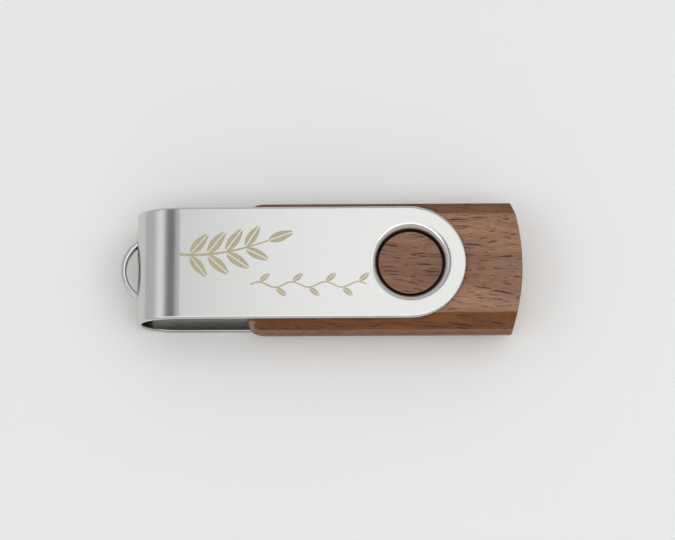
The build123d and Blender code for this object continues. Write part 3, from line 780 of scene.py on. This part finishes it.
def sprig_outlines(settings):
    """A stem that rises in one curve, with paired leaves that shorten to its tip."""
    start = Vector(settings.sprig_start)
    end = Vector(settings.sprig_end)
    lift = Vector((0.45 * (end.x - start.x), -0.0006))
    path = []
    steps = 24
    for step in range(steps + 1):
        t = step / steps
        path.append(start * (1 - t) ** 2 + (start + lift) * 2 * t * (1 - t) + end * t**2)
    outlines = stem_strip(path, settings.stem_width, settings.stem_width * 0.5)
    for pair in range(settings.leaf_pairs):
        t = 0.14 + 0.62 * pair / max(settings.leaf_pairs - 1, 1)
        index = round(t * steps)
        direction = (path[min(index + 1, steps)] - path[index - 1]).normalized()
        size = 0.72 + 0.28 * math.sin(math.pi * (0.2 + 0.75 * t))
        for side in (1, -1):
            turn = side * math.radians(52 - 14 * t)
            heading = Vector(
                (
                    direction.x * math.cos(turn) - direction.y * math.sin(turn),
                    direction.x * math.sin(turn) + direction.y * math.cos(turn),
                )
            )
            root = path[index] + heading * settings.stem_width * 0.7
            outlines += leaf_halves(root, heading, settings.leaf_length * size, settings.leaf_width * size)
    tip_direction = (path[-1] - path[-2]).normalized()
    outlines += leaf_halves(path[-1], tip_direction, settings.leaf_length * 0.95, settings.leaf_width * 0.95)
    return outlines


def vine_outlines(settings):
    """A thin wave with a small leaf at each crest."""
    start = Vector(settings.vine_start)
    half_wave = settings.vine_length / settings.vine_waves
    height = half_wave * 0.17
    steps = settings.vine_waves * 10
    stem_gap = 0.2 * MM  # from the stem's middle to where a leaf begins
    path = []
    for step in range(steps + 1):
        along = settings.vine_length * step / steps
        path.append(start + Vector((along, height * math.sin(math.pi * along / half_wave))))
    outlines = stem_strip(path, settings.stem_width * 0.55, settings.stem_width * 0.4)
    for wave in range(settings.vine_waves):
        side = 1 if wave % 2 == 0 else -1
        root = start + Vector(((wave + 0.5) * half_wave, side * height))
        turn = side * math.radians(38)
        heading = Vector((math.cos(turn), math.sin(turn)))
        root += heading * stem_gap
        outlines += leaf_halves(root, heading, settings.leaf_length * 0.46, settings.leaf_width * 0.5)
    return outlines


def print_mesh(name, outlines, low, high):
    """A thin solid for each outline, between two heights."""
    mesh = bpy.data.meshes.new(name)
    shape = bmesh.new()
    for outline in outlines:
        bottom = [shape.verts.new((PIVOT.x + p.x, PIVOT.y + p.y, low)) for p in outline]
        face = shape.faces.new(bottom)
        raised = bmesh.ops.extrude_face_region(shape, geom=[face])["geom"]
        top = [item for item in raised if isinstance(item, bmesh.types.BMVert)]
        bmesh.ops.translate(shape, verts=top, vec=(0.0, 0.0, high - low))
    bmesh.ops.recalc_face_normals(shape, faces=shape.faces)
    shape.to_mesh(mesh)
    shape.free()
    return mesh


# ---------------------------------------------------------------- operators


class FLASHDRIVE_OT_walnut_shells(bpy.types.Operator):
    """Give both walnut shells their oiled wood"""

    bl_idname = "flash_drive.walnut_shells"
    bl_label = "Walnut shells"

    def execute(self, context):
        dress(walnut_finish(context.scene.flash_drive_walnut), "walnut_upper_shell", "walnut_lower_shell")
        return {"FINISHED"}


class FLASHDRIVE_OT_swivel_clip(bpy.types.Operator):
    """Give the swivel clip its satin steel"""

    bl_idname = "flash_drive.swivel_clip"
    bl_label = "Swivel clip"

    def execute(self, context):
        dress(clip_finish(context.scene.flash_drive_steel), "swivel_clip")
        return {"FINISHED"}


class FLASHDRIVE_OT_ornament(bpy.types.Operator):
    """Print a leaf sprig and a small vine on the clip's upper arm"""

    bl_idname = "flash_drive.ornament"
    bl_label = "Printed ornament"

    def execute(self, context):
        settings = context.scene.flash_drive_ornament
        ink = print_finish(settings)
        arm_top = CLIP_HIGH.z
        for name, outlines in (
            ("leaf_sprig_print", sprig_outlines(settings)),
            ("leaf_vine_print", vine_outlines(settings)),
        ):
            mesh = print_mesh(name, outlines, arm_top - settings.thickness, arm_top + settings.thickness)
            mesh.materials.append(ink)
            piece = bpy.data.objects.new(name, mesh)
            context.scene.collection.objects.link(piece)
            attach(piece, "clip")
        return {"FINISHED"}


class FLASHDRIVE_OT_plug(bpy.types.Operator):
    """Finish the plug's nickel shell and its tongue, and all gold and tinned parts"""

    bl_idname = "flash_drive.plug"
    bl_label = "Plug and contacts"

    def execute(self, context):
        steel = context.scene.flash_drive_steel
        inside = context.scene.flash_drive_inside
        nickel = grained_metal(
            "plug_nickel",
            steel.plug_colour,
            (0.06 * MM, 14.0),
            (steel.plug_roughness, 0.12, 0.08),
            0.0012 * MM,
        )
        dress(nickel, "plug_shell", "crystal_lid")
        gold = grained_metal(
            "contact_gold", steel.gold_colour, (0.05 * MM, 8.0), (0.18, 0.12, 0.10), 0.001 * MM
        )
        contacts = [name for name in NODES if name.startswith("contact_")]
        dress(gold, "board_pads", *contacts)
        tin = grained_metal(
            "tinned_metal", steel.tinned_colour, (0.12 * MM, 1.0), (0.30, 0.2, 0.14), 0.004 * MM
        )
        ends = [name for name in NODES if name.endswith(("_leads", "_ends"))]
        dress(tin, "plug_solder", *ends)
        tongue = skinned_plastic("tongue_plastic", inside.tongue, 0.10 * MM, 0.42, 0.25, 0.003 * MM)
        dress(tongue, "plug_insulator")
        return {"FINISHED"}


class FLASHDRIVE_OT_carrier(bpy.types.Operator):
    """Finish the collar and the board's cradle and lid in black moulded plastic"""

    bl_idname = "flash_drive.carrier"
    bl_label = "Collar and board carrier"

    def execute(self, context):
        inside = context.scene.flash_drive_inside
        black = skinned_plastic("black_plastic", inside.black, 0.14 * MM, 0.52, 0.3, 0.006 * MM)
        dress(black, "plug_collar", "board_cradle", "cradle_lid")
        return {"FINISHED"}


class FLASHDRIVE_OT_board(bpy.types.Operator):
    """Finish the circuit board and the parts soldered to it"""

    bl_idname = "flash_drive.board"
    bl_label = "Circuit board"

    def execute(self, context):
        inside = context.scene.flash_drive_inside
        dress(board_finish(inside), "circuit_board")
        epoxy = skinned_plastic("chip_epoxy", inside.epoxy, 0.07 * MM, 0.58, 0.35, 0.004 * MM)
        dress(epoxy, "flash_chip", "controller_chip", "resistor_bodies")
        alumina = skinned_plastic("alumina", inside.alumina, 0.05 * MM, 0.45, 0.3, 0.002 * MM)
        dress(alumina, "crystal_base")
        capacitor = skinned_plastic("capacitor_ceramic", inside.capacitor, 0.04 * MM, 0.40, 0.3, 0.002 * MM)
        dress(capacitor, "capacitor_bodies")
        return {"FINISHED"}


def studio_room(scene, settings):
    """A dim room overhead that grows paler towards the horizon."""
    world = bpy.data.worlds.new("studio_room")
    world.use_nodes = True
    tree = world.node_tree
    direction = add_node(tree, "ShaderNodeTexCoord").outputs["Generated"]
    height = add_node(tree, "ShaderNodeSeparateXYZ", {0: direction}).outputs["Z"]
    above = smooth_step(tree, height, 0.70, 0.92)
    room = mix_colours(tree, above, settings.horizon, settings.zenith)
    tree.links.new(room, tree.nodes["Background"].inputs["Color"])
    scene.world = world


def hang_panel(scene, name, radiance, sideways, forward, height, tint):
    """A level light panel over the drive, between two pairs of angles from straight above, in degrees."""
    left, right = (height * math.tan(math.radians(value)) for value in sideways)
    front, back = (height * math.tan(math.radians(value)) for value in forward)
    light = bpy.data.lights.new(name, "AREA")
    light.shape = "RECTANGLE"
    light.size = right - left
    light.size_y = back - front
    light.energy = radiance * math.pi * light.size * light.size_y
    light.color = tint
    panel = bpy.data.objects.new(name, light)
    panel.location = ((left + right) / 2, (front + back) / 2, height)
    scene.collection.objects.link(panel)


class FLASHDRIVE_OT_stage(bpy.types.Operator):
    """Lay the floor, hang the soft light panels and set up the camera"""

    bl_idname = "flash_drive.stage"
    bl_label = "Studio stage"

    def execute(self, context):
        scene = context.scene
        settings = scene.flash_drive_stage
        mesh = bpy.data.meshes.new("floor")
        shape = bmesh.new()
        bmesh.ops.create_circle(shape, cap_ends=True, radius=settings.floor_radius, segments=96)
        bmesh.ops.translate(shape, verts=shape.verts, vec=(0.0, 0.0, cad_low.z))
        shape.to_mesh(mesh)
        shape.free()
        mesh.materials.append(floor_finish(settings))
        floor = bpy.data.objects.new("floor", mesh)
        scene.collection.objects.link(floor)

        studio_room(scene, settings)
        warm, cool = (1.0, 0.995, 0.98), (0.98, 1.0, 1.0)
        for name, radiance, sideways, forward, tint in (
            ("overhead_panel", settings.overhead, (-5, 13), (-8, 30), warm),
            ("overhead_edge_panel", settings.overhead_edge, (-14, -5), (-8, 30), cool),
            ("right_panel", settings.right, (13, 60), (-8, 30), warm),
            ("left_panel", settings.left, (-48, -33), (-8, 30), cool),
            ("front_panel", settings.front, (-45, 45), (-30, -8), warm),
        ):
            hang_panel(scene, name, radiance, sideways, forward, settings.panel_height, tint)

        data = bpy.data.cameras.new("studio_camera")
        data.lens = data.sensor_width * settings.camera_distance / settings.field_width
        data.clip_start = 0.01
        data.clip_end = 10.0
        camera = bpy.data.objects.new("studio_camera", data)
        tilt, roll = settings.camera_tilt, settings.camera_roll
        back = Vector((0.0, -math.sin(tilt), math.cos(tilt)))
        level_right = Vector((1.0, 0.0, 0.0))
        level_up = back.cross(level_right)
        right = level_right * math.cos(roll) + level_up * math.sin(roll)
        up = back.cross(right)
        target = PIVOT_CENTRE - Vector((settings.look_ahead, 0.0, 0.0))
        camera.location = target + back * settings.camera_distance
        camera.rotation_mode = "QUATERNION"
        camera.rotation_quaternion = Matrix((right, up, back)).transposed().to_quaternion()
        scene.collection.objects.link(camera)
        scene.camera = camera
        scene.view_settings.view_transform = "Standard"
        return {"FINISHED"}


OPERATORS = (
    FLASHDRIVE_OT_stage,
    FLASHDRIVE_OT_walnut_shells,
    FLASHDRIVE_OT_swivel_clip,
    FLASHDRIVE_OT_ornament,
    FLASHDRIVE_OT_plug,
    FLASHDRIVE_OT_carrier,
    FLASHDRIVE_OT_board,
)

SETTINGS = {
    "flash_drive_walnut": WalnutSettings,
    "flash_drive_steel": SteelSettings,
    "flash_drive_ornament": OrnamentSettings,
    "flash_drive_inside": InsideSettings,
    "flash_drive_stage": StageSettings,
}


class FLASHDRIVE_PT_panel(bpy.types.Panel):
    """Lists the flash drive's pieces and their settings"""

    bl_idname = "FLASHDRIVE_PT_panel"
    bl_label = "Flash Drive"
    bl_space_type = "VIEW_3D"
    bl_region_type = "UI"
    bl_category = "Flash Drive"

    def draw(self, context):
        for operator in OPERATORS:
            self.layout.operator(operator.bl_idname)
        for name, group in SETTINGS.items():
            box = self.layout.box()
            box.label(text=name.replace("flash_drive_", "").capitalize())
            for key in group.__annotations__:
                box.prop(getattr(context.scene, name), key)


def register():
    for settings in SETTINGS.values():
        bpy.utils.register_class(settings)
    for name, settings in SETTINGS.items():
        setattr(bpy.types.Scene, name, PointerProperty(type=settings))
    for operator in OPERATORS:
        bpy.utils.register_class(operator)
    bpy.utils.register_class(FLASHDRIVE_PT_panel)


def unregister():
    bpy.utils.unregister_class(FLASHDRIVE_PT_panel)
    for operator in reversed(OPERATORS):
        bpy.utils.unregister_class(operator)
    for name, settings in SETTINGS.items():
        delattr(bpy.types.Scene, name)
        bpy.utils.unregister_class(settings)


def main():
    register()
    for operator in OPERATORS:
        group, name = operator.bl_idname.split(".")
        getattr(getattr(bpy.ops, group), name)()


if __name__ == "__main__":
    main()
